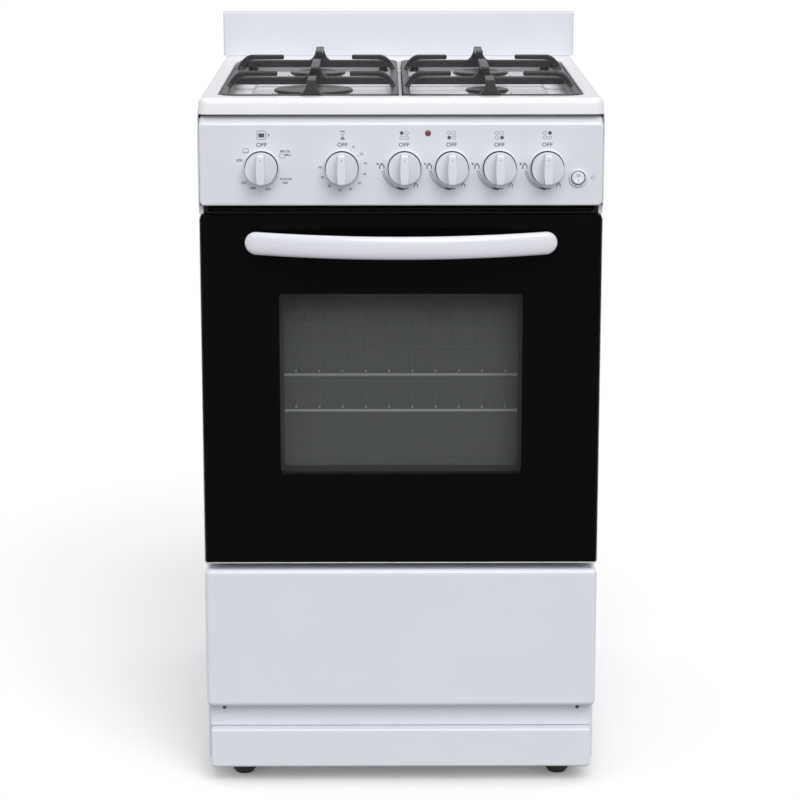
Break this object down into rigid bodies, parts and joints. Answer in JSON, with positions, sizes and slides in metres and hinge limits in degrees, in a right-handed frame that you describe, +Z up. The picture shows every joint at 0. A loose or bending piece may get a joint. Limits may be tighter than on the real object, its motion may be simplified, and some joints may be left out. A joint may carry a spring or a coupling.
{
  "type": "freestanding gas range",
  "caption": "Narrow white freestanding gas range with a hob under cast-iron grates, a glass-fronted oven, a storage drawer and a row of control knobs.",
  "frame": {"origin": "middle of the footprint, on the floor", "axes": "+X to the right seen from the front, +Y to the rear, +Z up"},
  "size_m": [0.5, 0.63, 0.951],
  "materials": {
    "white_enamel": "glossy white porcelain enamel on pressed steel",
    "zinc_steel": "zinc-plated sheet and turned steel, dull",
    "oven_enamel": "dark grey speckled oven enamel",
    "insulation": "mineral wool blanket",
    "gasket": "soft black oven gasket",
    "chrome_wire": "bright plated wire and sheet",
    "white_plastic": "satin white moulded plastic",
    "black_plastic": "matt black moulding",
    "foot_plastic": "black moulded feet",
    "black_glass": "black printed safety glass, very glossy, with a clear window",
    "window_glass": "clear inner pane",
    "brass": "brass taps and gas rail",
    "red_lens": "dark red lens",
    "cast_iron": "matt black enamelled cast iron",
    "cap_enamel": "black enamelled steel",
    "burner_alloy": "cast aluminium"
  },
  "bodies": {
    "root": {"side_panel_left": "white_enamel", "side_panel_right": "white_enamel", "kick_panel": "white_enamel", "drawer_rail": "white_enamel", "control_panel": "white_enamel", "hob_top": "white_enamel", "splashback": "white_enamel", "back_panel": "zinc_steel", "base_pan": "zinc_steel", "drawer_runner_left": "zinc_steel", "drawer_runner_right": "zinc_steel", "oven_burner": "zinc_steel", "broil_burner": "zinc_steel", "door_hinge_left": "zinc_steel", "door_hinge_right": "zinc_steel", "oven_liner": "oven_enamel", "oven_floor_plate": "oven_enamel", "oven_insulation": "insulation", "oven_seal": "gasket", "rack_support_left": "chrome_wire", "rack_support_right": "chrome_wire", "rocker_bezel": "white_plastic", "vent_trim": "black_plastic", "gas_manifold": "brass", "indicator_lamp": "red_lens", "burner_crown_rear_left": "burner_alloy", "burner_crown_front_left": "burner_alloy", "burner_crown_front_right": "burner_alloy", "burner_crown_rear_right": "burner_alloy"},
    "door": {"door_frame": "white_enamel", "door_outer_glass": "black_glass", "door_inner_glass": "window_glass", "door_handle": "white_plastic"},
    "drawer": {"drawer_front": "white_enamel", "drawer_box": "zinc_steel"},
    "rack_lower": {"oven_rack_lower": "chrome_wire"},
    "rack_upper": {"oven_rack_upper": "chrome_wire"},
    "grate_left": {"grate_left": "cast_iron"},
    "grate_right": {"grate_right": "cast_iron"},
    "rocker": {"rocker_switch": "white_plastic"},
    "cap_rear_left": {"burner_cap_rear_left": "cap_enamel"},
    "cap_front_left": {"burner_cap_front_left": "cap_enamel"},
    "cap_front_right": {"burner_cap_front_right": "cap_enamel"},
    "cap_rear_right": {"burner_cap_rear_right": "cap_enamel"},
    "spindle_thermostat": {"spindle_thermostat": "zinc_steel"},
    "knob_thermostat": {"knob_thermostat": "white_plastic"},
    "spindle_timer": {"spindle_timer": "zinc_steel"},
    "knob_timer": {"knob_timer": "white_plastic"},
    "spindle_rear_left": {"spindle_rear_left": "zinc_steel"},
    "knob_rear_left": {"knob_rear_left": "white_plastic"},
    "spindle_front_left": {"spindle_front_left": "zinc_steel"},
    "knob_front_left": {"knob_front_left": "white_plastic"},
    "spindle_front_right": {"spindle_front_right": "zinc_steel"},
    "knob_front_right": {"knob_front_right": "white_plastic"},
    "spindle_rear_right": {"spindle_rear_right": "zinc_steel"},
    "knob_rear_right": {"knob_rear_right": "white_plastic"},
    "foot_front_left": {"foot_front_left": "foot_plastic"},
    "foot_front_right": {"foot_front_right": "foot_plastic"},
    "foot_rear_left": {"foot_rear_left": "foot_plastic"},
    "foot_rear_right": {"foot_rear_right": "foot_plastic"}
  },
  "joints": [
    {"name": "door_hinge", "type": "hinge", "parent": "root", "child": "door", "pos_m": [0, -0.258, 0.306], "axis": [1, 0, 0], "range_deg": [0, 90], "stiffness_Nm_per_rad": 2, "springref_deg": -45.84},
    {"name": "drawer_slide", "type": "slide", "parent": "root", "child": "drawer", "axis": [0, -1, 0], "range_m": [0, 0.34]},
    {"name": "rack_lower_slide", "type": "slide", "parent": "root", "child": "rack_lower", "axis": [0, -1, 0], "range_m": [0, 0.034]},
    {"name": "rack_upper_slide", "type": "slide", "parent": "root", "child": "rack_upper", "axis": [0, -1, 0], "range_m": [0, 0.034]},
    {"name": "grate_left_lift", "type": "slide", "parent": "root", "child": "grate_left", "axis": [0, 0, 1], "range_m": [0, 0.15]},
    {"name": "grate_right_lift", "type": "slide", "parent": "root", "child": "grate_right", "axis": [0, 0, 1], "range_m": [0, 0.15]},
    {"name": "cap_rear_left_lift", "type": "slide", "parent": "root", "child": "cap_rear_left", "axis": [0, 0, 1], "range_m": [0, 0.012]},
    {"name": "cap_front_left_lift", "type": "slide", "parent": "root", "child": "cap_front_left", "axis": [0, 0, 1], "range_m": [0, 0.012]},
    {"name": "cap_front_right_lift", "type": "slide", "parent": "root", "child": "cap_front_right", "axis": [0, 0, 1], "range_m": [0, 0.012]},
    {"name": "cap_rear_right_lift", "type": "slide", "parent": "root", "child": "cap_rear_right", "axis": [0, 0, 1], "range_m": [0, 0.012]},
    {"name": "spindle_thermostat_push", "type": "slide", "parent": "root", "child": "spindle_thermostat", "axis": [0, 1, 0], "range_m": [0, 0.0035], "stiffness_N_per_m": 600, "springref_m": -0.002},
    {"name": "knob_thermostat_turn", "type": "hinge", "parent": "spindle_thermostat", "child": "knob_thermostat", "pos_m": [-0.1715, -0.27, 0.8037], "axis": [0, -1, 0], "range_deg": [0, 304]},
    {"name": "spindle_timer_push", "type": "slide", "parent": "root", "child": "spindle_timer", "axis": [0, 1, 0], "range_m": [0, 0.0035], "stiffness_N_per_m": 600, "springref_m": -0.002},
    {"name": "knob_timer_turn", "type": "hinge", "parent": "spindle_timer", "child": "knob_timer", "pos_m": [-0.0727, -0.27, 0.8037], "axis": [0, 1, 0], "range_deg": [0, 273]},
    {"name": "spindle_rear_left_push", "type": "slide", "parent": "root", "child": "spindle_rear_left", "axis": [0, 1, 0], "range_m": [0, 0.0035], "stiffness_N_per_m": 600, "springref_m": -0.002},
    {"name": "knob_rear_left_turn", "type": "hinge", "parent": "spindle_rear_left", "child": "knob_rear_left", "pos_m": [0.0042, -0.27, 0.8037], "axis": [0, -1, 0], "range_deg": [0, 210]},
    {"name": "spindle_front_left_push", "type": "slide", "parent": "root", "child": "spindle_front_left", "axis": [0, 1, 0], "range_m": [0, 0.0035], "stiffness_N_per_m": 600, "springref_m": -0.002},
    {"name": "knob_front_left_turn", "type": "hinge", "parent": "spindle_front_left", "child": "knob_front_left", "pos_m": [0.0624, -0.27, 0.8037], "axis": [0, -1, 0], "range_deg": [0, 210]},
    {"name": "spindle_front_right_push", "type": "slide", "parent": "root", "child": "spindle_front_right", "axis": [0, 1, 0], "range_m": [0, 0.0035], "stiffness_N_per_m": 600, "springref_m": -0.002},
    {"name": "knob_front_right_turn", "type": "hinge", "parent": "spindle_front_right", "child": "knob_front_right", "pos_m": [0.121, -0.27, 0.8037], "axis": [0, -1, 0], "range_deg": [0, 210]},
    {"name": "spindle_rear_right_push", "type": "slide", "parent": "root", "child": "spindle_rear_right", "axis": [0, 1, 0], "range_m": [0, 0.0035], "stiffness_N_per_m": 600, "springref_m": -0.002},
    {"name": "knob_rear_right_turn", "type": "hinge", "parent": "spindle_rear_right", "child": "knob_rear_right", "pos_m": [0.1797, -0.27, 0.8037], "axis": [0, -1, 0], "range_deg": [0, 210]},
    {"name": "rocker_tilt", "type": "hinge", "parent": "root", "child": "rocker", "pos_m": [0.2176, -0.2695, 0.791], "axis": [1, 0, 0], "range_deg": [0, 16]},
    {"name": "foot_front_left_turn", "type": "hinge", "parent": "root", "child": "foot_front_left", "pos_m": [-0.205, -0.214, 0], "axis": [0, 0, 1], "continuous": true},
    {"name": "foot_front_right_turn", "type": "hinge", "parent": "root", "child": "foot_front_right", "pos_m": [0.205, -0.214, 0], "axis": [0, 0, 1], "continuous": true},
    {"name": "foot_rear_left_turn", "type": "hinge", "parent": "root", "child": "foot_rear_left", "pos_m": [-0.205, 0.265, 0], "axis": [0, 0, 1], "continuous": true},
    {"name": "foot_rear_right_turn", "type": "hinge", "parent": "root", "child": "foot_rear_right", "pos_m": [0.205, 0.265, 0], "axis": [0, 0, 1], "continuous": true}
  ]
}
